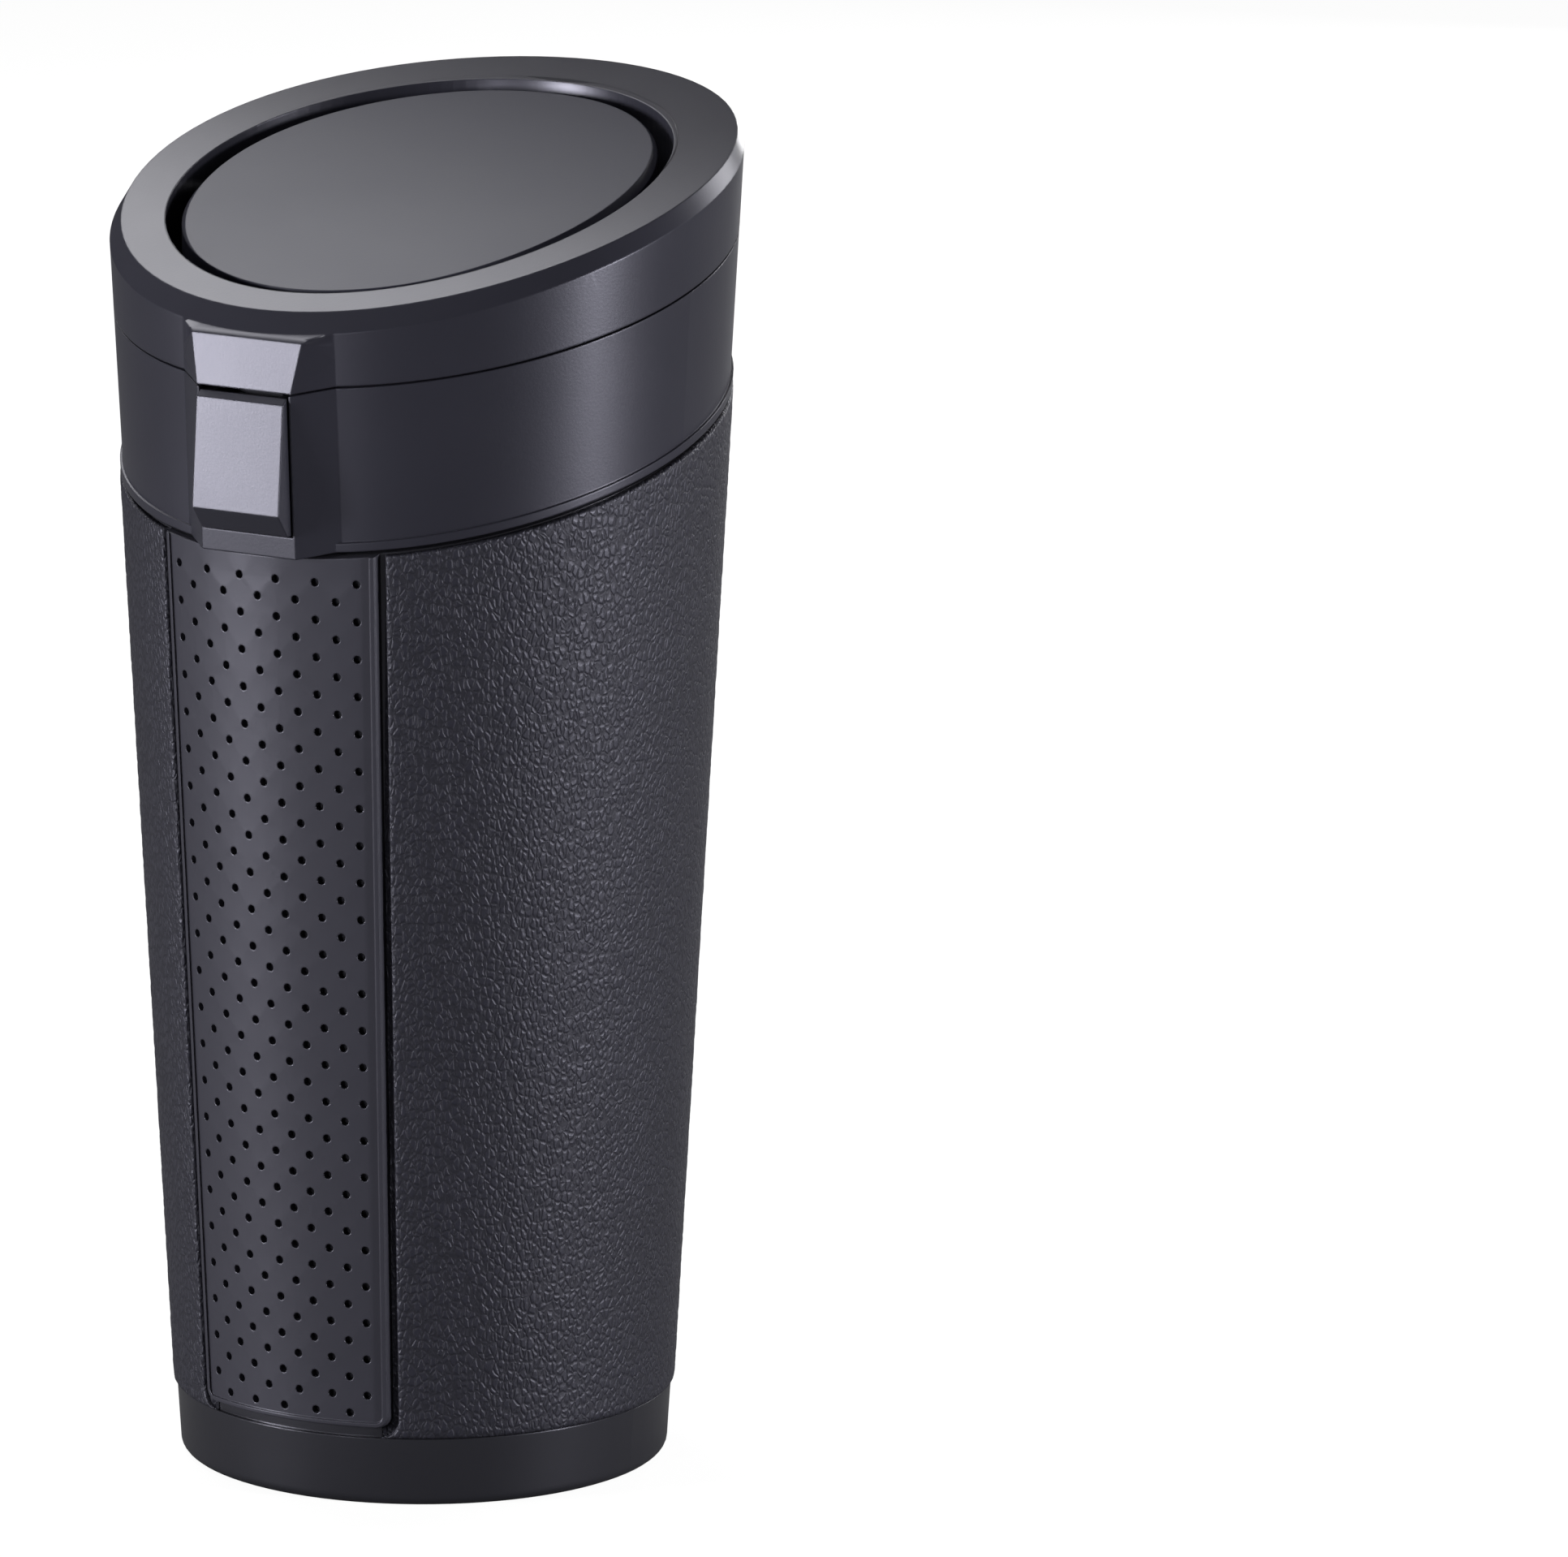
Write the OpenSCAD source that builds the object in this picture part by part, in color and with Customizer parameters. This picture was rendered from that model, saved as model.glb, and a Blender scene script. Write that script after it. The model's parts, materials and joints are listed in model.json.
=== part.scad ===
// Cup-holder waste bin for a car: a leather-wrapped tapered cup with a tilted head.
// The head is a fixed collar and a lid that flips up on a rear hinge. A push button at the
// front frees the lid, and a sprung round flap in the lid swings inwards.
// Millimetres, Z up, front towards -Y, origin at the middle of the base.

/* [Cup] */
// Radius of the bare plastic cone at table height
base_r = 33.6; // [31:0.1:37]
// Widening of the outer wall for each millimetre of height
wall_slope = 0.053; // [0.04:0.001:0.06]
// Wall thickness of the cup
cup_wall = 2.0; // [1.6:0.1:2.4]
// Thickness of the cup's floor
floor_t = 2.4; // [1.8:0.1:4]
// Radius of the rounded lower edge
foot_round = 1.4; // [0.8:0.1:2]
// Height of the bare band below the leather
band_h = 9.6; // [7:0.1:14]
// Height of the ledge that carries the bag ring
ledge_z = 117; // [105:0.5:118]
// Width of that ledge
ledge_w = 2.2; // [1.6:0.1:3]

/* [Leather] */
// Thickness of the leather wrap
leather_t = 1.0; // [0.8:0.05:1.4]
// How far the leather stands proud of the bare plastic
leather_proud = 0.5; // [0.2:0.05:0.7]
// Layer of glue under the leather and the strip
glue_t = 0.05; // [0.03:0.01:0.1]
// Height of the leather's upper edge on the axis
seam_z = 142.7; // [138:0.1:146]
// Tilt of the leather's upper edge, rising to the back
seam_tilt = 15.2; // [13:0.1:16]

/* [Perforated strip] */
// Half width of the strip's place at its lower edge
strip_half_low = 15.8; // [14:0.1:17]
// Half width of the strip's place at the front of the seam
strip_half_top = 17.8; // [16:0.1:18.5]
// Gap between the strip and the leather
strip_gap = 1.1; // [0.5:0.1:1.4]
// Height of the strip's lower edge above the bare band
strip_lift = 1.6; // [1:0.1:3]
// Radius of the strip's lower corners
strip_corner = 2.7; // [1.5:0.1:4]
// Width of the rolled border
border_w = 0.6; // [0.4:0.1:1]
// Height of the rolled border above the strip
border_rise = 0.25; // [0.15:0.05:0.3]
// Diameter of each perforation
perf_d = 1.1; // [0.6:0.05:1.3]
// Angle between columns of perforations, about the cup's axis
perf_step = 4.05; // [3.6:0.05:4.2]
// Distance between perforations in a column
perf_pitch_z = 5.13; // [4:0.01:8]
// Number of columns of perforations, an odd number
perf_columns = 11; // [5:2:11]
// Height of the first row of perforations
perf_top_z = 128.65; // [120:0.05:129]
// Height above the bare band that is left without perforations
perf_end = 3.4; // [3:0.1:10]

/* [Collar] */
// Height of the parting line between collar and lid, on the axis
parting_z = 165.2; // [163.5:0.1:166]
// Tilt of the parting line, rising to the back
parting_tilt = 14.1; // [13.5:0.1:14.6]
// Wall thickness of the collar
collar_wall = 2.0; // [1.6:0.1:2.3]
// Height of the shadow groove between leather and collar
groove_h = 0.8; // [0.5:0.1:1.2]
// Height of the bead along the collar's lower edge
bead_h = 1.2; // [0.8:0.1:1.8]
// How far that bead stands out
bead_rise = 0.35; // [0.2:0.05:0.5]
// Depth of the skirt that enters the cup
skirt_h = 8.0; // [7:0.1:9]
// Thickness of the skirt
skirt_t = 1.6; // [1.2:0.1:2]
// Clearance between parts that slide together at assembly
fit = 0.15; // [0.1:0.01:0.25]
// Width of each snap lug
lug_w = 8.0; // [5:0.1:10]
// Height of each snap lug
lug_h = 2.4; // [1.8:0.1:3]
// Depth of the sealing flange below the parting line
flange_drop = 2.2; // [2:0.1:2.6]
// Thickness of the sealing flange
flange_t = 1.6; // [1.2:0.1:1.8]
// Width of the sealing flange, from the outer wall inwards
flange_w = 6.95; // [6.2:0.05:7.6]
// Width of the rim seal
seal_w = 1.6; // [1:0.1:2]
// Open height above the rim seal when the lid is shut
seal_gap = 0.25; // [0.2:0.05:0.4]

/* [Front boss and button] */
// Half width of the boss's flat front
boss_half = 7.4; // [7.3:0.1:7.8]
// How far the boss stands out from the cone
boss_rise = 2.1; // [1.8:0.1:2.5]
// Angle of the boss's flanks to its front
flank_angle = 40; // [36:0.5:44]
// Width of the button
button_w = 13.7; // [12.8:0.1:14]
// Height of the button's lower end
button_z = 135.1; // [134.8:0.1:136]
// Height of the button from end to end
button_h = 18.6; // [17.6:0.1:18.8]
// How far the button stands out of the cone at its upper end
button_rise = 3.1; // [2.6:0.1:3.6]
// Lean of the button's face, lower end outwards
button_lean = 4.4; // [3:0.1:5]
// Height of the bevel at the button's lower end
button_bevel_low = 3.0; // [2:0.1:3.6]
// Height of the bevel at the button's upper end
button_bevel_top = 0.8; // [0.5:0.1:1.2]
// Thickness of the button's shell
button_wall = 1.6; // [1.2:0.1:1.8]
// Gap round the button
button_gap = 0.25; // [0.15:0.05:0.4]
// Travel of the button
button_travel = 2.2; // [1.6:0.1:2.3]
// Diameter of the button spring's wire
spring_wire = 0.6; // [0.5:0.05:0.7]
// Mean radius of the button spring
spring_r = 2.5; // [2.3:0.1:3.5]
// Number of turns of the button spring
spring_turns = 4; // [3:1:5]
// Wall thickness of the latch housing
housing_wall = 1.4; // [1.1:0.1:1.8]

/* [Lid] */
// Height of the lid's upper face on the axis
top_z = 177.7; // [176.5:0.1:179]
// Tilt of the lid's upper face at the axis, rising to the back
top_tilt = 15.5; // [15:0.1:17]
// Radius of the gentle crown of the upper face, front to back
crown_r = 500; // [400:10:1500]
// Width of the bevel round the upper face, at the front
bevel_w = 1.8; // [1.2:0.1:2.4]
// Width of that bevel at the back
bevel_back_w = 0.6; // [0.4:0.1:2]
// Height of the bevel round the upper face
bevel_h = 2.15; // [1.6:0.05:3]
// Wall thickness of the lid's cover
lid_wall = 2.0; // [1.6:0.1:2.2]
// Gap along the parting line
parting_gap = 0.3; // [0.2:0.05:0.5]
// Width of the rim round the flap opening, from the outer wall inwards
rim_w = 8.7; // [8.4:0.1:9.2]
// Place of the opening's centre, front to back
opening_y = -1.2; // [-1.6:0.1:-0.8]
// Thickness of the wall round the opening
throat_t = 1.5; // [1.2:0.1:1.7]
// Lean of the tab above the button, lower end outwards
tab_lean = 6.2; // [4:0.1:8]
// Thickness of the lid's liner
liner_t = 1.6; // [1.4:0.1:1.8]
// Diameter of the small screws
screw_d = 1.8; // [1.6:0.1:2]
// Diameter of the small screws' heads
screw_head_d = 3.2; // [2.8:0.1:3.4]
// Length of the lid's screws
lid_screw_l = 6.0; // [5:0.1:7]
// Length of the latch housing's screws
housing_screw_l = 5.4; // [4.5:0.1:5.6]

/* [Hinge] */
// Diameter of the hinge pin
pin_d = 2.4; // [2:0.1:2.6]
// Outer radius of the hinge knuckles
knuckle_r = 2.6; // [2.4:0.1:2.7]
// Distance of the hinge axis behind the outer wall
hinge_out = 3.1; // [3:0.1:3.6]
// Width of each knuckle of the collar
collar_knuckle_w = 6.0; // [4:0.1:8]
// Width of each knuckle of the lid
lid_knuckle_w = 4.4; // [3:0.1:6]
// Free width between the lid's knuckles, for the spring
spring_bay_w = 8.4; // [7:0.1:10]
// Running clearance on radius of a pin in its bore
running = 0.05; // [0.03:0.01:0.08]
// Sideways gap between neighbouring knuckles
knuckle_gap = 0.25; // [0.15:0.05:0.4]
// Diameter of the hinge spring's wire
hinge_wire = 0.7; // [0.5:0.05:0.8]

/* [Flap] */
// Gap between the flap and its opening
flap_gap = 2.2; // [1.8:0.1:2.6]
// Depth of the flap's face below the lid's face
flap_recess = 0.8; // [0.4:0.1:1.2]
// Thickness of the flap's face
flap_t = 1.6; // [1.2:0.1:2]
// Depth of the rim under the flap's edge
flap_rim_h = 3.4; // [2.6:0.1:4]
// Width of the bevel round the flap's face
flap_bevel = 0.7; // [0.4:0.1:1]
// Diameter of the flap's axle
axle_d = 2.2; // [1.8:0.1:2.4]
// Depth of the axle below the lid's face
axle_depth = 5.2; // [4.8:0.1:5.8]
// Width of the ledge that the back of the flap rests on
flap_stop_w = 24; // [12:1:30]
// Thickness of that ledge
flap_stop_t = 1.4; // [1:0.1:2]
// Diameter of the flap spring's wire
flap_wire = 0.5; // [0.4:0.05:0.6]

/* [Hidden] */
$fn = 96;
BIG = 160;

plastic = [0.36, 0.37, 0.41];
dark_plastic = [0.22, 0.22, 0.25];
leather = [0.25, 0.25, 0.28];
steel = [0.75, 0.75, 0.77];
rubber = [0.1, 0.1, 0.11];

wall_angle = atan(wall_slope);
leather_inset = leather_t + glue_t - leather_proud;
cup_r = base_r - leather_inset;
cup_in_r = cup_r - cup_wall;
skirt_r = cup_in_r - fit;
tongue_t = cup_wall / 2;
lug_out = fit + 0.6 * cup_wall;
skirt_root = 1.6;
tall = 1.2 * top_z;
floor_bevel = 2.0;
border_inset = 0.1;
tab_block = 60;
flank_w = 7;
boss_depth = 6;
tab_top_tilt = 38;
tab_top_out = 0.6;
ring_play = 0.4;
front_seam_z = seam_z - plastic_r(seam_z) * tan(seam_tilt);
flange_r = plastic_r(parting_z) - flange_w;
opening_r = plastic_r(top_z) - rim_w;
rear_wall_y = plastic_r(parting_z + plastic_r(parting_z) * tan(parting_tilt));
hinge_y = rear_wall_y + hinge_out;
hinge_z = parting_z + hinge_y * tan(parting_tilt);
web_root = 3.6;
web_gap = 0.3;
web_drop = 11;
spring_bay = spring_bay_w / 2;
lid_knuckle_x = spring_bay + lid_knuckle_w;
collar_knuckle_x = lid_knuckle_x + knuckle_gap + collar_knuckle_w;
collar_top = parting_z - parting_gap / 2;
lid_low = parting_z + parting_gap / 2;
liner_low = lid_low + 0.2;
flange_top = parting_z - flange_drop;
seal_inset = 2.0;
front_parting_z = parting_z - plastic_r(parting_z) * tan(parting_tilt);
tab_top_y = -plastic_r(front_parting_z) - tab_top_out;
crown_y = crown_r * sin(top_tilt);
crown_z = top_z - crown_r * cos(top_tilt);
flap_r = opening_r - flap_gap;
throat_r = opening_r + throat_t;
axle_z = face_z(opening_y) - axle_depth;
axle_end = throat_r + 2.6;
lid_screw_angles = [74, 142, 218, 286];
lid_screw_r = (throat_r + plastic_r(parting_z) - lid_wall) / 2;
screw_post_d = 4.0;
screw_head_h = 0.9;
slot_half = button_w / 2 + button_gap;
slot_z = button_z - button_gap;
plate_inset = 1.15;
plate_y = -(plastic_r(slot_z) - collar_wall) + plate_inset;
plate_t = 1.2;
plate_half = slot_half + 1.4;
plate_low = button_z + 0.8;
plate_top = front_parting_z - 4.0;
spring_room = 5.5;
housing_half = plate_half + 0.4;
housing_y = plate_y + plate_t + spring_room;
housing_low = slot_z - housing_wall;
housing_top = plate_top + 0.5;
screw_boss_d = 5.0;
screw_x = housing_half + housing_wall + 2.6;
screw_z = (button_z + plate_top) / 2;
ear_t = 1.6;
ear_gap = 0.2;
stem_y = plate_y - 0.9;
stem_t = 1.2;
ledge_half = 4;
ledge_out = 0.8;
ledge_t = 1.4;
barb_out = 0.7;
hook_half = 3.5;
hook_top = plate_top - ledge_t - 0.2;

// Outer radius of the bare plastic at a height
function plastic_r(z) = base_r + wall_slope * z;

// Height of the crowned upper face at a place front to back
function face_z(y) = crown_z + sqrt(pow(crown_r, 2) - pow(y - crown_y, 2));

// Points of an arc of a circle
function arc(c, r, a1, a2, n = 6) = [
  for (i = [0 : n]) c + r * [cos(a1 + (a2 - a1) * i / n), sin(a1 + (a2 - a1) * i / n)]
];

// Cone that follows the outer wall, with the given radius at table height
module wall_cone(r0, z1 = 0) {
  translate([0, 0, z1])
    cylinder(h = tall - z1, r1 = r0 + wall_slope * z1, r2 = r0 + wall_slope * tall);
}

// Everything above a plane that rises to the back
module above(z0, tilt) {
  translate([0, 0, z0])
    rotate([tilt, 0, 0])
      translate([-BIG, -BIG, 0])
        cube([2 * BIG, 2 * BIG, BIG]);
}

// Everything below a plane that rises to the back
module below(z0, tilt) {
  translate([0, 0, z0])
    rotate([tilt, 0, 0])
      translate([-BIG, -BIG, -BIG])
        cube([2 * BIG, 2 * BIG, BIG]);
}

// Tapered ring between two radii at table height and two tilted planes
module tilted_ring(r_out, r_in, z1, z2, tilt) {
  difference() {
    intersection() {
      wall_cone(r_out);
      above(z1, tilt);
      below(z2, tilt);
    }
    wall_cone(r_in);
  }
}

// Everything under the lid's crowned upper face, lowered by a depth
module under_crown(depth = 0) {
  translate([0, crown_y, crown_z])
    rotate([0, 90, 0])
      cylinder(r = crown_r - depth, h = BIG, center = true, $fn = 720);
}

// Round post through the flap opening, seen from above
module opening_post(r) {
  translate([0, opening_y, 0])
    cylinder(r = r, h = tall);
}

// Side view outline in Y and Z, given a width along X
module side_extrude(w, pts) {
  translate([-w / 2, 0, 0])
    rotate([90, 0, 90])
      linear_extrude(height = w)
        polygon(pts);
}

// Height of the collar's upper edge at a place front to back
function collar_top_z(y) = collar_top + y * tan(parting_tilt);

// Unit vector along a vector
function unit(v) = v / norm(v);

// Direction of a path at one of its points
function heading(path, i) =
  unit(path[min(i + 1, len(path) - 1)] - path[max(i - 1, 0)]);

// Round wire along a path, whose turns lie about the given direction
module wire(path, d, about, sides = 8) {
  n = len(path);
  function ring(i) =
    let (t = heading(path, i), u = unit(cross(about, t)), v = cross(t, u))
    [for (k = [0 : sides - 1]) path[i] + d / 2 * (cos(360 * k / sides) * u + sin(360 * k / sides) * v)];
  function at(i, k) = i * sides + k % sides;
  polyhedron(
    points = [for (i = [0 : n - 1]) each ring(i)],
    faces = concat(
      [[for (k = [0 : sides - 1]) k]],
      [
        for (i = [0 : n - 2], k = [0 : sides - 1])
          each [[at(i, k), at(i + 1, k), at(i + 1, k + 1)], [at(i, k), at(i + 1, k + 1), at(i, k + 1)]]
      ],
      [[for (k = [sides - 1 : -1 : 0]) at(n - 1, k)]]
    )
  );
}

module body_shell() {
  outline = concat(
    [[0, 0]],
    arc([plastic_r(0) - foot_round, foot_round], foot_round, -90, 0),
    [
      [plastic_r(band_h), band_h],
      [cup_r + wall_slope * band_h, band_h],
      [cup_r + wall_slope * tall, tall],
      [cup_in_r + wall_slope * tall, tall],
      [cup_in_r + wall_slope * ledge_z, ledge_z],
      [cup_in_r + wall_slope * ledge_z - ledge_w, ledge_z],
      [cup_in_r + wall_slope * (ledge_z - 2 * ledge_w), ledge_z - 2 * ledge_w],
      [cup_in_r + wall_slope * floor_t, floor_t + floor_bevel],
      [cup_in_r + wall_slope * floor_t - floor_bevel, floor_t],
      [0, floor_t]
    ]
  );
  color(plastic)
    difference() {
      rotate_extrude()
        polygon(outline);
      above(seam_z + groove_h, seam_tilt);
      difference() {
        above(seam_z, seam_tilt);
        wall_cone(cup_in_r + tongue_t);
      }
      for (a = [45 : 90 : 315]) {
        snap(a, lug_w + 2 * fit, lug_h + 2 * fit, lug_out + fit);
      }
    }
}

// Block at the place of a snap lug, standing out from the skirt
module snap(a, w, h, out) {
  r = skirt_r + wall_slope * seam_z;
  y = -r * cos(a);
  z = seam_z + y * tan(seam_tilt) - skirt_h / 2;
  rotate([0, 0, a])
    translate([-w / 2, -(skirt_r + wall_slope * z) - out, z - h / 2])
      cube([w, out + skirt_t / 2, h]);
}

// Outline of the strip's place from the front, in X and Z, grown by a margin and lifted
function strip_outline(m, lift) =
  let (low = band_h + lift, half = strip_half_low + m, r = strip_corner + m)
  let (spread = (strip_half_top - strip_half_low) / (front_seam_z - band_h))
  concat(
    arc([-half + r, low + r], r, 180, 270),
    arc([half - r, low + r], r, 270, 360),
    [[half + spread * 80, low + r + 80], [half + spread * 160, low + r + 160]],
    [[-half - spread * 160, low + r + 160], [-half - spread * 80, low + r + 80]]
  );

// Front half of space inside the strip's outline
module strip_prism(m, lift) {
  rotate([90, 0, 0])
    linear_extrude(height = BIG)
      polygon(strip_outline(m, lift));
}

module leather_wrap() {
  color(leather)
    difference() {
      intersection() {
        wall_cone(base_r + leather_proud, band_h + glue_t);
        below(seam_z, seam_tilt);
      }
      wall_cone(cup_r + glue_t);
      strip_prism(0, 0);
    }
}

module front_strip() {
  color(plastic)
    difference() {
      union() {
        intersection() {
          strip_skin(base_r + leather_proud);
          strip_prism(-strip_gap, strip_lift);
        }
        intersection() {
          strip_skin(base_r + leather_proud + border_rise);
          difference() {
            strip_prism(-strip_gap - border_inset, strip_lift + border_inset);
            strip_prism(-strip_gap - border_inset - border_w, strip_lift + border_inset + border_w);
          }
        }
      }
      perforations();
    }
}

// Skin of the strip's thickness over the cup, cut at the seam
module strip_skin(r_out) {
  difference() {
    intersection() {
      wall_cone(r_out, band_h + glue_t);
      below(seam_z, seam_tilt);
    }
    wall_cone(cup_r + glue_t);
  }
}

// Staggered columns of round holes square to the strip's face
module perforations() {
  mid = (perf_columns - 1) / 2;
  low = band_h + perf_end;
  for (j = [-mid : mid]) {
    first = perf_top_z - (j % 2 == 0 ? perf_pitch_z / 2 : 0);
    for (z = [first : -perf_pitch_z : low]) {
      r = plastic_r(z);
      rotate([0, 0, j * perf_step])
        translate([0, -r - leather_proud - 1, z])
          rotate([-90 - wall_angle, 0, 0])
            cylinder(d = perf_d, h = leather_t + 2, $fn = 16);
    }
  }
}

module bag_ring() {
  r = cup_in_r + wall_slope * ledge_z - ring_play;
  z = ledge_z + 0.1;
  color(dark_plastic)
    difference() {
      rotate_extrude()
        polygon([
          [r - 2.4, z], [r, z], [r, z + 4.2], [r - 0.6, z + 4.8], [r - 1.6, z + 4.8],
          [r - 2.4, z + 3.6]
        ]);
      for (x = [-1, 1]) {
        translate([x * r, 0, z + 6.4])
          rotate([0, 90, 0])
            cylinder(r = 4.5, h = 12, center = true);
      }
    }
}

// Outline of the front boss from above, at table height
function boss_outline(inner) =
  let (d = base_r + boss_rise, root = boss_half + flank_w, drop = flank_w * tan(flank_angle))
  [
    [-boss_half, -d], [boss_half, -d], [root, -d + drop], [root, -inner], [-root, -inner],
    [-root, -d + drop]
  ];

// Front boss, leaning with the wall
module boss_prism(inner) {
  rotate([wall_angle, 0, 0])
    linear_extrude(height = tall)
      polygon(boss_outline(inner));
}

module collar() {
  color(plastic)
    difference() {
      union() {
        intersection() {
          union() {
            wall_cone(base_r);
            boss_prism(base_r - boss_depth);
          }
          above(seam_z + groove_h, seam_tilt);
          below(collar_top, parting_tilt);
        }
        tilted_ring(
          base_r + bead_rise, base_r - 1,
          seam_z + groove_h, seam_z + groove_h + bead_h, seam_tilt
        );
        collar_knuckles();
      }
      difference() {
        wall_cone(base_r - collar_wall);
        collar_flange();
      }
      difference() {
        below(seam_z + groove_h, seam_tilt);
        wall_cone(base_r + 1);
      }
      button_slot();
      hinge_bore(pin_d / 2);
      housing_screw_bores();
    }
  color(plastic)
    collar_skirt();
  color(plastic)
    difference() {
      housing_bosses();
      housing_screw_bores();
    }
}

// Flange inside the collar that the seal lies on
module collar_flange() {
  difference() {
    intersection() {
      wall_cone(base_r);
      above(flange_top - flange_t, parting_tilt);
      below(flange_top, parting_tilt);
    }
    cylinder(r = flange_r, h = tall);
  }
}

// Skirt that enters the cup, with its four snap lugs
module collar_skirt() {
  difference() {
    intersection() {
      union() {
        wall_cone(skirt_r);
        tilted_ring(
          base_r - 0.5, skirt_r - 0.5,
          seam_z + groove_h, seam_z + groove_h + skirt_root, seam_tilt
        );
        for (a = [45 : 90 : 315]) {
          snap(a, lug_w, lug_h, lug_out);
        }
      }
      above(seam_z - skirt_h, seam_tilt);
      below(seam_z + groove_h + skirt_root, seam_tilt);
    }
    wall_cone(skirt_r - skirt_t);
    translate([-slot_half, -BIG, slot_z])
      cube([2 * slot_half, BIG, tall]);
  }
}

// Opening in the boss and the collar's wall for the button, and in the flange for the latch
module button_slot() {
  translate([-slot_half, -BIG, slot_z])
    cube([2 * slot_half, BIG + plate_y, tall]);
  intersection() {
    translate([-housing_half, -BIG, housing_low])
      cube([2 * housing_half, BIG + housing_y, tall]);
    wall_cone(base_r - collar_wall);
  }
}

// Bosses inside the collar for the latch housing's screws
module housing_bosses() {
  for (x = [-1, 1]) {
    intersection() {
      translate([x * screw_x, housing_y - ear_gap - ear_t, screw_z])
        rotate([90, 0, 0])
          cylinder(d = screw_boss_d, h = BIG);
      wall_cone(base_r - collar_wall + 0.5);
    }
  }
}

// Bores for the latch housing's screws
module housing_screw_bores() {
  for (x = [-1, 1]) {
    translate([x * screw_x, housing_y - ear_gap, screw_z])
      rotate([90, 0, 0])
        cylinder(d = screw_d, h = housing_screw_l + 0.3);
  }
}

// Knuckles of the collar, with the webs that carry them
module collar_knuckles() {
  root_y = rear_wall_y - web_root;
  lip_y = rear_wall_y + web_gap;
  for (x = [-1, 1]) {
    translate([x * (collar_knuckle_x - collar_knuckle_w / 2), 0, 0]) {
      side_extrude(collar_knuckle_w, [
        [root_y, collar_top_z(root_y) - 0.1], [root_y, hinge_z - web_drop],
        [hinge_y + knuckle_r * cos(40), hinge_z - knuckle_r * sin(40)], [hinge_y - 1, hinge_z - 0.4],
        [lip_y, collar_top_z(lip_y) - 0.1]
      ]);
      translate([0, hinge_y, hinge_z])
        rotate([0, 90, 0])
          cylinder(r = knuckle_r, h = collar_knuckle_w, center = true);
    }
  }
}

// Bore for the hinge pin, along X
module hinge_bore(r) {
  translate([0, hinge_y, hinge_z])
    rotate([0, 90, 0])
      cylinder(r = r, h = 2 * collar_knuckle_x + 2, center = true);
}

module rim_seal() {
  r = flange_r + seal_inset;
  half = housing_half + housing_wall + 0.3;
  color(rubber)
    difference() {
      intersection() {
        cylinder(r = r + seal_w, h = tall);
        above(flange_top, parting_tilt);
        below(liner_low - seal_gap, parting_tilt);
      }
      cylinder(r = r, h = tall);
      translate([-half, -BIG, 0])
        cube([2 * half, BIG, tall]);
    }
}

module latch_housing() {
  out = housing_half + housing_wall;
  color(dark_plastic)
    difference() {
      intersection() {
        union() {
          translate([-out, -BIG, housing_low])
            cube([2 * out, BIG + housing_y + housing_wall, housing_top - housing_low]);
          for (x = [-1, 1]) {
            translate([x * screw_x, housing_y - ear_gap, screw_z])
              rotate([90, 0, 0])
                cylinder(d = screw_boss_d, h = ear_t);
            translate([(x > 0 ? out : -screw_x), housing_y - ear_gap - ear_t, screw_z - screw_boss_d / 2])
              cube([screw_x - out, ear_t, screw_boss_d]);
          }
        }
        wall_cone(base_r - collar_wall - fit);
      }
      difference() {
        union() {
          below(seam_z + groove_h + skirt_root + fit, seam_tilt);
          translate([-BIG, -BIG, 0])
            cube([2 * BIG, 2 * BIG, housing_low + housing_wall + 0.01]);
        }
        wall_cone(skirt_r - skirt_t - fit);
      }
      translate([-housing_half, -BIG, housing_low + housing_wall])
        cube([2 * housing_half, BIG + housing_y, tall]);
      for (x = [-1, 1]) {
        translate([x * screw_x, 0, screw_z])
          rotate([90, 0, 0])
            cylinder(d = screw_d + 2 * fit, h = BIG);
      }
    }
  color(dark_plastic)
    translate([0, housing_y + 0.2, screw_z])
      rotate([90, 0, 0])
        cylinder(r = spring_r - spring_wire / 2 - 0.3, h = 1.4);
}

module housing_screws() {
  color(steel)
    for (x = [-1, 1]) {
      translate([x * screw_x, housing_y - ear_gap, screw_z])
        rotate([90, 0, 0]) {
          cylinder(d = screw_d, h = housing_screw_l);
          translate([0, 0, -screw_head_h])
            difference() {
              cylinder(d = screw_head_d, h = screw_head_h);
              cross_slot();
            }
        }
    }
}

// Cross recess in a screw's head, from its outer face
module cross_slot() {
  for (a = [0, 90]) {
    rotate([0, 0, a])
      translate([-0.25, -0.9, -0.1])
        cube([0.5, 1.8, 0.6]);
  }
}

module button() {
  top = button_z + button_h;
  face_top = -(plastic_r(top) + button_rise);
  face_h = button_h - button_bevel_low - button_bevel_top;
  face_low = face_top - face_h * tan(button_lean);
  inner = plate_y;
  color(plastic)
    difference() {
      union() {
        side_extrude(button_w, [
          [inner, button_z], [face_low + 2.2, button_z], [face_low, button_z + button_bevel_low],
          [face_top, top - button_bevel_top], [face_top + 0.9, top], [inner, top]
        ]);
        translate([-plate_half, plate_y, plate_low])
          cube([2 * plate_half, plate_t, plate_top - plate_low]);
      }
      button_hollow(face_top, face_low, inner, top);
    }
  color(plastic)
    translate([-ledge_half, plate_y - ledge_out, plate_top - ledge_t])
      cube([2 * ledge_half, ledge_out + 0.5, ledge_t]);
  color(plastic)
    translate([0, plate_y + plate_t + 0.8, screw_z])
      rotate([90, 0, 0])
        cylinder(r = spring_r - spring_wire / 2 - 0.3, h = 1.2);
}

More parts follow.
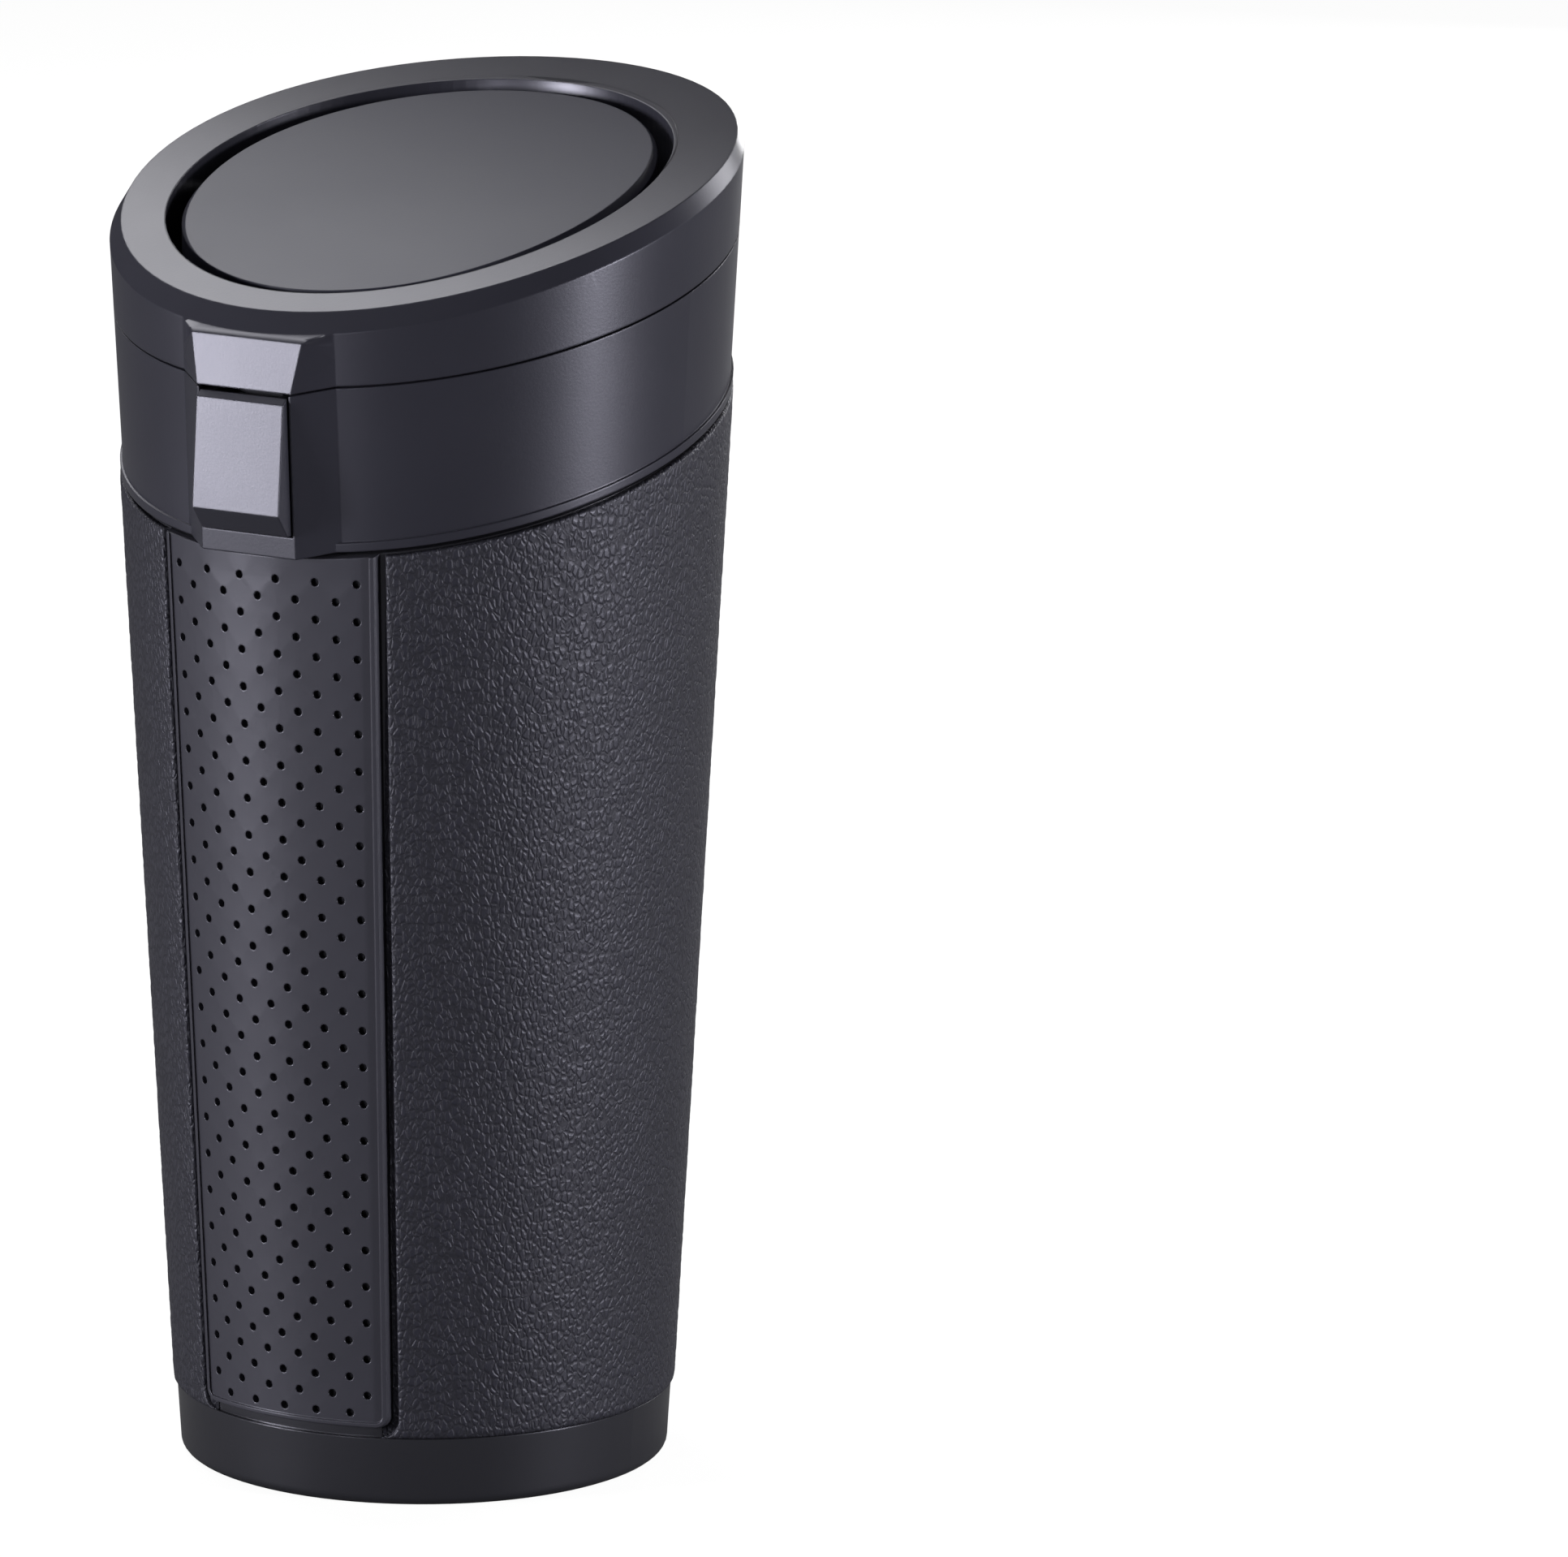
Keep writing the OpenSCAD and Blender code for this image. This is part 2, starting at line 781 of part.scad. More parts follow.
// Hollow behind the button's face, with the notch that the lid's hook enters
module button_hollow(face_top, face_low, inner, top) {
  in_w = button_w - 2 * button_wall;
  side_extrude(in_w, [
    [inner, button_z + button_wall], [face_low + 2.4 + button_wall, button_z + button_wall],
    [face_low + button_wall + 0.2, button_z + button_bevel_low + 0.6],
    [face_top + button_wall, top - button_wall - 0.6], [inner, top - button_wall - 0.6]
  ]);
  translate([-5, face_top + button_wall, plate_top])
    cube([10, 40, 20]);
}

module button_spring() {
  y1 = plate_y + plate_t + spring_wire / 2 + 0.02;
  y2 = housing_y - spring_wire / 2 - 0.02;
  n = spring_turns * 16;
  color(steel)
    wire(
      [for (i = [0 : n]) [spring_r * cos(22.5 * i), y1 + (y2 - y1) * i / n, screw_z + spring_r * sin(22.5 * i)]],
      spring_wire, [0, 1, 0]
    );
}

module hinge_pin() {
  color(steel)
    translate([0, hinge_y, hinge_z])
      rotate([0, 90, 0])
        cylinder(d = pin_d - 0.02, h = 2 * collar_knuckle_x, center = true);
}

module hinge_spring() {
  r = pin_d / 2 + 0.15 + hinge_wire / 2;
  turns = 6;
  n = turns * 16;
  w = turns * (hinge_wire + 0.15);
  low_z = hinge_z - 7;
  high_z = hinge_z + 6;
  leg_low = [-w / 2, wire_y(low_z, hinge_wire), low_z];
  leg_high = [w / 2, wire_y(high_z, hinge_wire), high_z];
  color(steel)
    wire(
      concat(
        [leg_low],
        [
          for (i = [0 : n])
            [-w / 2 + w * i / n, hinge_y - r * cos(22.5 * i), hinge_z + r * sin(22.5 * i)]
        ],
        [leg_high]
      ),
      hinge_wire, [1, 0, 0]
    );
}

// Where a wire lies that touches the outer wall at the back
function wire_y(z, d) = plastic_r(z) + d / 2 + 0.05;

// Solid that the bevel round the upper face leaves, as a ring of straight facets
module bevel_envelope() {
  n = 96;
  function low_r(t, r, k) =
    k == 0 ? r : low_r(t, plastic_r(face_z(-r * cos(t)) - bevel_h), k - 1);
  function width(t) = (bevel_w + bevel_back_w) / 2 + (bevel_w - bevel_back_w) / 2 * cos(t);
  function edge(t) =
    let (r = low_r(t, plastic_r(top_z), 5), w = width(t))
    let (z = face_z(-r * cos(t)) - bevel_h, rise = face_z(-(r - w) * cos(t)) - z)
    [r, z, rise, w];
  function spot(t, r, z) = [r * sin(t), -r * cos(t), z];
  low = [for (i = [0 : n - 1]) let (t = 360 * i / n, e = edge(t)) spot(t, e[0] + 2 * e[3], 0)];
  mid = [
    for (i = [0 : n - 1]) let (t = 360 * i / n, e = edge(t))
      spot(t, e[0] + 2 * e[3], e[1] - 2 * e[2])
  ];
  high = [
    for (i = [0 : n - 1]) let (t = 360 * i / n, e = edge(t))
      spot(t, e[0] - 1.5 * e[3], e[1] + 1.5 * e[2])
  ];
  centre = 3 * n;
  polyhedron(
    points = concat(low, mid, high, [[0, 0, 0], [0, 0, top_z + 2 * bevel_h]]),
    faces = concat(
      [for (i = [0 : n - 1]) [centre, i, (i + 1) % n]],
      [for (i = [0 : n - 1]) [i, n + (i + 1) % n, (i + 1) % n]],
      [for (i = [0 : n - 1]) [i, n + i, n + (i + 1) % n]],
      [for (i = [0 : n - 1]) [n + i, 2 * n + (i + 1) % n, n + (i + 1) % n]],
      [for (i = [0 : n - 1]) [n + i, 2 * n + i, 2 * n + (i + 1) % n]],
      [for (i = [0 : n - 1]) [2 * n + i, centre + 1, 2 * n + (i + 1) % n]]
    )
  );
}

// Height of the bevel's lower edge at a place front to back
function tab_top_z(y) = face_z(y) - bevel_h;

// Tab of the lid above the button, leaning outwards towards its lower end
module lid_tab() {
  intersection() {
    boss_prism(base_r - boss_depth);
    translate([-tab_block / 2, -plastic_r(front_parting_z) - boss_rise, front_parting_z])
      rotate([-tab_lean, 0, 0])
        translate([0, 0, -tab_block / 3])
          cube([tab_block, tab_block, tab_block]);
  }
}

module lid_cover() {
  color(plastic)
    difference() {
      union() {
        intersection() {
          wall_cone(base_r, ledge_z);
          above(lid_low, parting_tilt);
          under_crown();
          bevel_envelope();
        }
        intersection() {
          lid_tab();
          above(lid_low, parting_tilt);
          below(tab_top_z(tab_top_y) - tab_top_y * tan(tab_top_tilt), tab_top_tilt);
        }
        lid_knuckles();
      }
      lid_channel();
      opening_post(opening_r);
      axle_bore(axle_d / 2 + running);
      hinge_bore(pin_d / 2 + running);
    }
  color(plastic)
    flap_stop();
}

// Ledge on the wall round the opening that the back of the flap rests on
module flap_stop() {
  top = flap_recess + flap_rim_h + 0.3;
  intersection() {
    difference() {
      opening_post(opening_r + throat_t / 2);
      opening_post(flap_r - flap_t);
    }
    difference() {
      under_crown(top);
      under_crown(top + flap_stop_t);
    }
    translate([-flap_stop_w / 2, 0, 0])
      cube([flap_stop_w, BIG, tall]);
  }
}

// Hollow of the lid's cover, open below, with the screw posts left standing
module lid_channel() {
  difference() {
    intersection() {
      wall_cone(base_r - lid_wall);
      under_crown(lid_wall);
    }
    opening_post(throat_r);
    screw_posts();
    spring_peg();
  }
}

// Peg that one leg of the flap's spring leans on
module spring_peg() {
  translate([throat_r + 1.3, opening_y - axle_d / 2 - 2.2, axle_z + 1])
    cylinder(d = 1.8, h = 20, $fn = 32);
}

// Places of the four lid screws, square to the liner, at its lower face
module at_lid_screws() {
  translate([0, 0, liner_low])
    rotate([parting_tilt, 0, 0])
      for (a = lid_screw_angles) {
        rotate([0, 0, a])
          translate([0, -lid_screw_r, 0])
            children();
      }
}

// Posts that the lid screws bite into
module screw_posts() {
  difference() {
    at_lid_screws()
      translate([0, 0, liner_t * cos(parting_tilt) + 0.05])
        cylinder(d = screw_post_d, h = 3 * lid_screw_l);
    at_lid_screws()
      cylinder(d = screw_d, h = lid_screw_l + 0.4);
  }
}

// Knuckles of the lid, with the webs that carry them
module lid_knuckles() {
  root_y = rear_wall_y - web_root;
  for (x = [-1, 1]) {
    translate([x * (lid_knuckle_x - lid_knuckle_w / 2), 0, 0]) {
      side_extrude(lid_knuckle_w, [
        [root_y, hinge_z + web_gap], [hinge_y, hinge_z + web_gap],
        [hinge_y + knuckle_r * cos(30), hinge_z + knuckle_r * sin(30)], [root_y, hinge_z + 3 * knuckle_r]
      ]);
      translate([0, hinge_y, hinge_z])
        rotate([0, 90, 0])
          cylinder(r = knuckle_r, h = lid_knuckle_w, center = true);
    }
  }
}

// Bore for the flap's axle, along X
module axle_bore(r) {
  translate([0, opening_y, axle_z])
    rotate([0, 90, 0])
      cylinder(r = r, h = 2 * (throat_r + 1), center = true);
}

module lid_liner() {
  color(dark_plastic)
    difference() {
      intersection() {
        wall_cone(base_r - lid_wall - fit);
        above(liner_low, parting_tilt);
        below(liner_low + liner_t, parting_tilt);
      }
      opening_post(throat_r + fit);
      at_lid_screws() {
        translate([0, 0, -1])
          cylinder(d = screw_d + 2 * fit, h = 2 + liner_t);
        translate([0, 0, -1])
          cylinder(d = screw_head_d + 0.1, h = 1.1 + screw_head_h);
      }
    }
  color(dark_plastic)
    lid_hook();
}

// Hook under the lid's front edge that the button's ledge holds
module lid_hook() {
  z_front = liner_plane(stem_y - stem_t);
  z_back = liner_plane(stem_y);
  side_extrude(2 * hook_half, [
    [stem_y - stem_t, z_front], [stem_y - stem_t, hook_top - 0.9], [stem_y - stem_t + 0.5, hook_top - 1.7],
    [stem_y, hook_top - 1.7], [stem_y + barb_out, hook_top - 0.7], [stem_y + barb_out, hook_top],
    [stem_y, hook_top], [stem_y, z_back]
  ]);
}

// Height of the middle of the liner at a place front to back
function liner_plane(y) = liner_low + y * tan(parting_tilt) + liner_t / 2;

module lid_screws() {
  color(steel)
    at_lid_screws()
      translate([0, 0, 0.05])
        difference() {
          union() {
            cylinder(d = screw_d, h = lid_screw_l);
            cylinder(d = screw_head_d, h = screw_head_h);
          }
          cross_slot();
        }
}

module flap_cover() {
  color(plastic)
    difference() {
      intersection() {
        opening_post(flap_r);
        under_crown(flap_recess);
        flap_edge();
      }
      intersection() {
        opening_post(flap_r - flap_t);
        under_crown(flap_recess + flap_t);
      }
      under_crown(flap_recess + flap_rim_h);
      axle_bore(axle_d / 2 + 0.4);
    }
}

// Cone whose side is the bevel round the flap's face
module flap_edge() {
  z = face_z(opening_y) - flap_recess;
  k = tan(top_tilt);
  multmatrix([[1, 0, 0, 0], [0, 1, 0, opening_y], [0, k, 1, z], [0, 0, 0, 1]])
    translate([0, 0, -12])
      cylinder(h = 16, r1 = flap_r + 12 - flap_bevel - 0.3, r2 = flap_r - 4 - flap_bevel - 0.3);
}

module flap_back() {
  in_r = flap_r - flap_t - fit;
  color(dark_plastic)
    difference() {
      union() {
        difference() {
          intersection() {
            opening_post(in_r);
            under_crown(flap_recess + flap_rim_h - 1.4);
          }
          under_crown(flap_recess + flap_rim_h);
        }
        intersection() {
          translate([0, opening_y, axle_z])
            rotate([0, 90, 0])
              cylinder(r = axle_d / 2 + 1.3, h = 2 * in_r - 3, center = true);
          under_crown(flap_recess + flap_t + 0.1);
        }
      }
      axle_bore(axle_d / 2);
    }
}

module flap_axle() {
  color(steel)
    translate([-axle_end, opening_y, axle_z])
      rotate([0, 90, 0])
        cylinder(d = axle_d - 0.02, h = 2 * axle_end);
}

module flap_spring() {
  r = axle_d / 2 + 0.15 + flap_wire / 2;
  turns = 3;
  n = turns * 16;
  w = turns * (flap_wire + 0.08);
  x = throat_r + 0.2 + flap_wire / 2;
  color(steel)
    wire(
      concat(
        [[x, opening_y - r, axle_z + 2]],
        [for (i = [0 : n]) [x + w * i / n, opening_y - r * cos(22.5 * i), axle_z - r * sin(22.5 * i)]],
        [[x + w, opening_y - r, axle_z - 2]]
      ),
      flap_wire, [1, 0, 0]
    );
}

body_shell();
leather_wrap();
front_strip();
bag_ring();
collar();
rim_seal();
latch_housing();
housing_screws();
button();
button_spring();
hinge_pin();
hinge_spring();
lid_cover();
lid_liner();
lid_screws();
flap_cover();
flap_back();
flap_axle();
flap_spring();
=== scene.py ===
"""Looks of a cup-holder waste bin for a car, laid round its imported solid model."""
import json
import math

import bpy
import numpy as np
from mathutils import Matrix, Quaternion, Vector, noise


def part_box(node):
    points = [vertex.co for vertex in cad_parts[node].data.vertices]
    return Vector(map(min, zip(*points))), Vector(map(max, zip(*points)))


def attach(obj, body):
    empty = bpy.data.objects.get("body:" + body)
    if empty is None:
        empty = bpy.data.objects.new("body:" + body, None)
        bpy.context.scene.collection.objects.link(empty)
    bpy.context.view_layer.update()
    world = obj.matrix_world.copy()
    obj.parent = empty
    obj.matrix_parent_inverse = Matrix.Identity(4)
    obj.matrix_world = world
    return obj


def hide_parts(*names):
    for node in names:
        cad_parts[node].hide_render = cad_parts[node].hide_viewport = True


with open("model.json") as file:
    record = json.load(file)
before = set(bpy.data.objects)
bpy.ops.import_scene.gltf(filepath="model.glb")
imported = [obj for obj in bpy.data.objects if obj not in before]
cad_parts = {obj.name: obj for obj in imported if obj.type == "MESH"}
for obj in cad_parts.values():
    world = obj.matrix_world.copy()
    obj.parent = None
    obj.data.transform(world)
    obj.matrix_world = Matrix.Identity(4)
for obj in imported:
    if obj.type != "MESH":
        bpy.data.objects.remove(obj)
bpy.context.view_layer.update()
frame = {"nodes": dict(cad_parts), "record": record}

bl_info = {
    "name": "Cup-holder waste bin",
    "version": (1, 0, 0),
    "blender": (4, 5, 0),
    "location": "View3D > Sidebar > Waste Bin",
    "description": "Dresses a leather-wrapped waste bin with a tilted flip lid",
    "category": "Object",
}

MM = 0.001

# The cup's outer wall is a cone: its radius where it would meet the table, and its widening
BASE_RADIUS = 33.6 * MM
WALL_SLOPE = 0.053
# Outer and inner radius of the leather where it would meet the table
LEATHER_OUT = BASE_RADIUS + 0.5 * MM
LEATHER_IN = BASE_RADIUS - 0.5 * MM
# Lower edge of the leather, and the plane of its upper edge
LEATHER_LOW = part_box("leather_wrap")[0][2]
SEAM_HEIGHT = 142.7 * MM
SEAM_TILT = math.radians(15.2)
# Place of the strip in the leather: half width at its lower and upper end, lower corners
STRIP_HALF_LOW = 15.8 * MM
STRIP_HALF_TOP = 17.8 * MM
STRIP_CORNER = 2.7 * MM
STRIP_LOW = LEATHER_LOW - 0.05 * MM
STRIP_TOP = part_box("front_strip")[1][2] - 1.3 * MM

# Crown of the lid's upper face
CROWN_RADIUS = 500 * MM
TOP_TILT = math.radians(15.5)
TOP_HEIGHT = 177.7 * MM
CROWN_Y = CROWN_RADIUS * math.sin(TOP_TILT)
CROWN_Z = TOP_HEIGHT - CROWN_RADIUS * math.cos(TOP_TILT)
# Bevel round that face: width at the front and at the back, and height
BEVEL_FRONT = 1.8 * MM
BEVEL_BACK = 0.6 * MM
BEVEL_HEIGHT = 2.15 * MM

# Points of a solid's mesh that lie nearer than this are one point
WELD = 0.002 * MM
# Rounds of the searches that close in on a place on the cone
SEARCH_ROUNDS = 6

# Ending of the names of the materials made here, as the frame brings some named like its slots
FINISH = "_finish"
# Colour of the reflections on the plastics and leathers
COOL_SHEEN = (0.84, 0.83, 1.0, 1)
# Width of the spark-eroded grain of the plastics, and radius of their edges
PLASTIC_GRAIN = 0.35 * MM
PLASTIC_EDGE = 0.3 * MM
# The leather's pebbles stand upright: their width by their height
PEBBLE_SHAPE = 0.62
# How far the borders of the pebbles wander, as a share of the way to a noise
PEBBLE_WANDER = 0.0006
# Where a pebble reaches its full height: distance from its crease in the shader, and how
# much nearer its middle is than the next one's in the mesh, both in cells
PEBBLE_RISE = 0.28
PEBBLE_LEAD = 0.55
# Colours of the seal and of the steel parts, and how much darker the inner plastic is
SEAL_COLOR = (0.014, 0.014, 0.015)
STEEL_COLOR = (0.62, 0.62, 0.64)
INNER_SHADE = 0.6
# Strength of the reflection on the round flap, which is duller than the rim
FLAP_SHEEN = 0.34


# Materials

def new_material(name, color, roughness):
    """Material with a Principled shader, its nodes and links at hand."""
    material = bpy.data.materials.new(name + FINISH)
    material.use_nodes = True
    nodes = material.node_tree.nodes
    shader = nodes["Principled BSDF"]
    shader.inputs["Roughness"].default_value = roughness
    shader.inputs["Base Color"].default_value = (*color, 1)
    material.diffuse_color = (*color, 1)
    return material, nodes, material.node_tree.links, shader


def object_coordinates(nodes, links, scale=(1, 1, 1)):
    """Object coordinates times a scale."""
    coordinates = nodes.new("ShaderNodeTexCoord")
    mapping = nodes.new("ShaderNodeMapping")
    mapping.inputs["Scale"].default_value = scale
    links.new(coordinates.outputs["Object"], mapping.inputs["Vector"])
    return mapping.outputs["Vector"]


def noise_texture(nodes, links, vector, scale, detail=4, roughness=0.5):
    """Noise texture on the given coordinates."""
    texture = nodes.new("ShaderNodeTexNoise")
    texture.inputs["Scale"].default_value = scale
    texture.inputs["Detail"].default_value = detail
    texture.inputs["Roughness"].default_value = roughness
    links.new(vector, texture.inputs["Vector"])
    return texture.outputs["Fac"]


def pebbles(nodes, links, vector, scale):
    """Height of leather pebbles: cells that are round on top, with creases between them."""
    wander = noise_texture(nodes, links, vector, scale * 0.7, 2).node
    moved = nodes.new("ShaderNodeMix")
    moved.data_type = "VECTOR"
    moved.inputs["Factor"].default_value = PEBBLE_WANDER
    links.new(vector, moved.inputs["A"])
    links.new(wander.outputs["Color"], moved.inputs["B"])
    cells = nodes.new("ShaderNodeTexVoronoi")
    cells.feature = "DISTANCE_TO_EDGE"
    cells.inputs["Scale"].default_value = scale
    links.new(moved.outputs["Result"], cells.inputs["Vector"])
    crest = spread(nodes, links, cells.outputs["Distance"], 0, 1, 0, PEBBLE_RISE)
    crest.node.interpolation_type = "SMOOTHSTEP"
    return crest


def spread(nodes, links, value, low, high, from_low=0.0, from_high=1.0):
    """Maps a value to a range."""
    node = nodes.new("ShaderNodeMapRange")
    node.inputs["From Min"].default_value = from_low
    node.inputs["From Max"].default_value = from_high
    node.inputs["To Min"].default_value = low
    node.inputs["To Max"].default_value = high
    links.new(value, node.inputs["Value"])
    return node.outputs["Result"]


def tint(nodes, links, value, dark, light):
    """Mixes two colours by a value."""
    node = nodes.new("ShaderNodeMix")
    node.data_type = "RGBA"
    node.inputs["A"].default_value = (*dark, 1)
    node.inputs["B"].default_value = (*light, 1)
    links.new(value, node.inputs["Factor"])
    return node.outputs["Result"]


def bump(nodes, links, height, strength, distance, below=None):
    """Bump node, on top of another normal where one is given."""
    node = nodes.new("ShaderNodeBump")
    node.inputs["Strength"].default_value = strength
    node.inputs["Distance"].default_value = distance
    links.new(height, node.inputs["Height"])
    if below is not None:
        links.new(below, node.inputs["Normal"])
    return node.outputs["Normal"]


def shade(color, factor):
    """A colour made darker or lighter."""
    return tuple(c * factor for c in color)


def rounded_edges(nodes, radius):
    """Normal that rounds the sharp edges of a moulding."""
    node = nodes.new("ShaderNodeBevel")
    node.samples = 6
    node.inputs["Radius"].default_value = radius
    return node.outputs["Normal"]


def moulded_plastic(name, color, roughness, grain):
    """Dark moulded plastic with a fine spark-eroded grain and faint flow clouds."""
    material, nodes, links, shader = new_material(name, color, roughness)
    shader.inputs["Specular Tint"].default_value = COOL_SHEEN
    vector = object_coordinates(nodes, links)
    cloud = noise_texture(nodes, links, vector, 45, 3)
    fine = noise_texture(nodes, links, vector, 1 / PLASTIC_GRAIN, 3, 0.6)
    base = tint(nodes, links, cloud, shade(color, 0.9), shade(color, 1.1))
    links.new(base, shader.inputs["Base Color"])
    gloss = spread(nodes, links, cloud, roughness - 0.03, roughness + 0.03)
    links.new(gloss, shader.inputs["Roughness"])
    soft = rounded_edges(nodes, PLASTIC_EDGE)
    links.new(bump(nodes, links, fine, grain, 0.03 * MM, soft), shader.inputs["Normal"])
    return material


def grained_leather(name, color, roughness, cell):
    """Coated leather with upright pebbles, fine pores, a low sheen and painted shade in the
    creases between the pebbles.
    """
    material, nodes, links, shader = new_material(name, color, roughness)
    shader.inputs["Specular Tint"].default_value = COOL_SHEEN
    vector = object_coordinates(nodes, links, (1, 1, PEBBLE_SHAPE))
    cells = pebbles(nodes, links, vector, 1 / cell)
    pores = noise_texture(nodes, links, vector, 4.5 / cell, 3, 0.6)
    wear = noise_texture(nodes, links, vector, 70, 4)
    # Random wear in the colour, multiplied by painted shade that darkens the creases between the
    # pebbles
    wear_and_crease_shade = nodes.new("ShaderNodeMix")
    wear_and_crease_shade.data_type = "RGBA"
    wear_and_crease_shade.blend_type = "MULTIPLY"
    wear_and_crease_shade.inputs["Factor"].default_value = 1
    worn = tint(nodes, links, wear, shade(color, 0.85), shade(color, 1.15))
    links.new(worn, wear_and_crease_shade.inputs["A"])
    # Painted shade: the creases are darkened to 0.45 of the colour, while the pebbles' tops keep
    # the full colour
    painted_crease_shade = tint(nodes, links, cells, (0.45, 0.45, 0.45), (1, 1, 1))
    links.new(painted_crease_shade, wear_and_crease_shade.inputs["B"])
    links.new(wear_and_crease_shade.outputs["Result"], shader.inputs["Base Color"])
    gloss = spread(nodes, links, cells, roughness + 0.12, roughness - 0.04)
    links.new(gloss, shader.inputs["Roughness"])
    low = bump(nodes, links, cells, 0.8, 0.09 * MM)
    links.new(bump(nodes, links, pores, 0.35, 0.05 * MM, low), shader.inputs["Normal"])
    return material


def smooth_leather(name, color, roughness, edge):
    """Smooth coated leather of the strip, with a very fine grain and soft waves."""
    material, nodes, links, shader = new_material(name, color, roughness)
    shader.inputs["Specular Tint"].default_value = COOL_SHEEN
    vector = object_coordinates(nodes, links)
    waves = noise_texture(nodes, links, vector, 120, 2)
    fine = noise_texture(nodes, links, vector, 2600, 3, 0.6)
    base = tint(nodes, links, waves, shade(color, 0.92), shade(color, 1.08))
    links.new(base, shader.inputs["Base Color"])
    gloss = spread(nodes, links, fine, roughness - 0.04, roughness + 0.04)
    links.new(gloss, shader.inputs["Roughness"])
    soft = bump(nodes, links, waves, 0.2, 0.1 * MM, rounded_edges(nodes, edge))
    links.new(bump(nodes, links, fine, 0.22, 0.03 * MM, soft), shader.inputs["Normal"])
    return material


def zinc_steel(name, color, roughness):
    """Drawn and zinc-plated steel, with fine lines along X."""
    material, nodes, links, shader = new_material(name, color, roughness)
    vector = object_coordinates(nodes, links, (1, 14, 14))
    lines = noise_texture(nodes, links, vector, 380, 4, 0.6)
    shader.inputs["Metallic"].default_value = 1
    links.new(tint(nodes, links, lines, shade(color, 0.85), color), shader.inputs["Base Color"])
    gloss = spread(nodes, links, lines, roughness - 0.06, roughness + 0.1)
    links.new(gloss, shader.inputs["Roughness"])
    links.new(bump(nodes, links, lines, 0.2, 0.02 * MM), shader.inputs["Normal"])
    return material


def soft_rubber(name, color):
    """Matte seal rubber with a dusty bloom."""
    material, nodes, links, shader = new_material(name, color, 0.75)
    vector = object_coordinates(nodes, links)
    bloom = noise_texture(nodes, links, vector, 220, 4)
    base = tint(nodes, links, bloom, shade(color, 0.8), shade(color, 1.5))
    links.new(base, shader.inputs["Base Color"])
    links.new(spread(nodes, links, bloom, 0.68, 0.85), shader.inputs["Roughness"])
    links.new(bump(nodes, links, bloom, 0.2, 0.05 * MM), shader.inputs["Normal"])
    return material


def set_material(piece, material):
    """Gives a piece one material."""
    piece.data.materials.clear()
    piece.data.materials.append(material)


def slot_material(slot):
    """The material made for a slot of the record."""
    return bpy.data.materials[slot + FINISH]


# Mesh code

def wall_radius(base, height):
    """Radius of a cone beside the cup's wall at a height."""
    return base + WALL_SLOPE * height


def seam_top(angle, base):
    """Height of the seam's plane on the wall at an angle from the front."""
    tilt = math.tan(SEAM_TILT)
    fall = np.cos(angle) * tilt
    return (SEAM_HEIGHT - base * np.cos(angle) * tilt) / (1 + WALL_SLOPE * fall)


def strip_edge(height):
    """Half width of the strip's place at a height."""
    rise = np.clip(height - STRIP_LOW, 0, None)
    corner = np.clip(STRIP_CORNER - rise, 0, None)
    inset = STRIP_CORNER - np.sqrt(STRIP_CORNER ** 2 - corner ** 2)
    slope = (STRIP_HALF_TOP - STRIP_HALF_LOW) / (STRIP_TOP - STRIP_LOW)
    return STRIP_HALF_LOW + slope * rise - inset


def face_height(y):
    """Height of the lid's crowned upper face at a place front to back."""
    return CROWN_Z + math.sqrt(CROWN_RADIUS ** 2 - (y - CROWN_Y) ** 2)


def graded(count, length, near):
    """Fractions from 0 to 1 that start and end with the given distances from the edge."""
    ends = np.array(near) / length
    middle = np.linspace(ends[-1], 1 - ends[-1], count)
    return np.concatenate([ends[:-1], middle, 1 - ends[-2::-1]])


def grid_faces(rows, columns):
    """Quads of a grid of points that is stored row by row."""
    faces = []
    for j in range(rows - 1):
        for i in range(columns - 1):
            a = j * columns + i
            faces.append((a, a + 1, a + columns + 1, a + columns))
    return faces


def mesh_piece(name, points, faces):
    """New piece from points and faces."""
    mesh = bpy.data.meshes.new(name)
    mesh.from_pydata([tuple(p) for p in points], [], faces)
    mesh.validate()
    piece = bpy.data.objects.new(name, mesh)
    bpy.context.collection.objects.link(piece)
    return piece


def crease_height(point, cell):
    """Height from 0 to 1 of a pebble at a point, with creases between neighbours."""
    place = Vector((point[0], point[1], point[2] * PEBBLE_SHAPE)) / cell
    distances = noise.voronoi(place)[0]
    crest = min((distances[1] - distances[0]) / PEBBLE_LEAD, 1)
    return crest * crest * (3 - 2 * crest)


# Settings

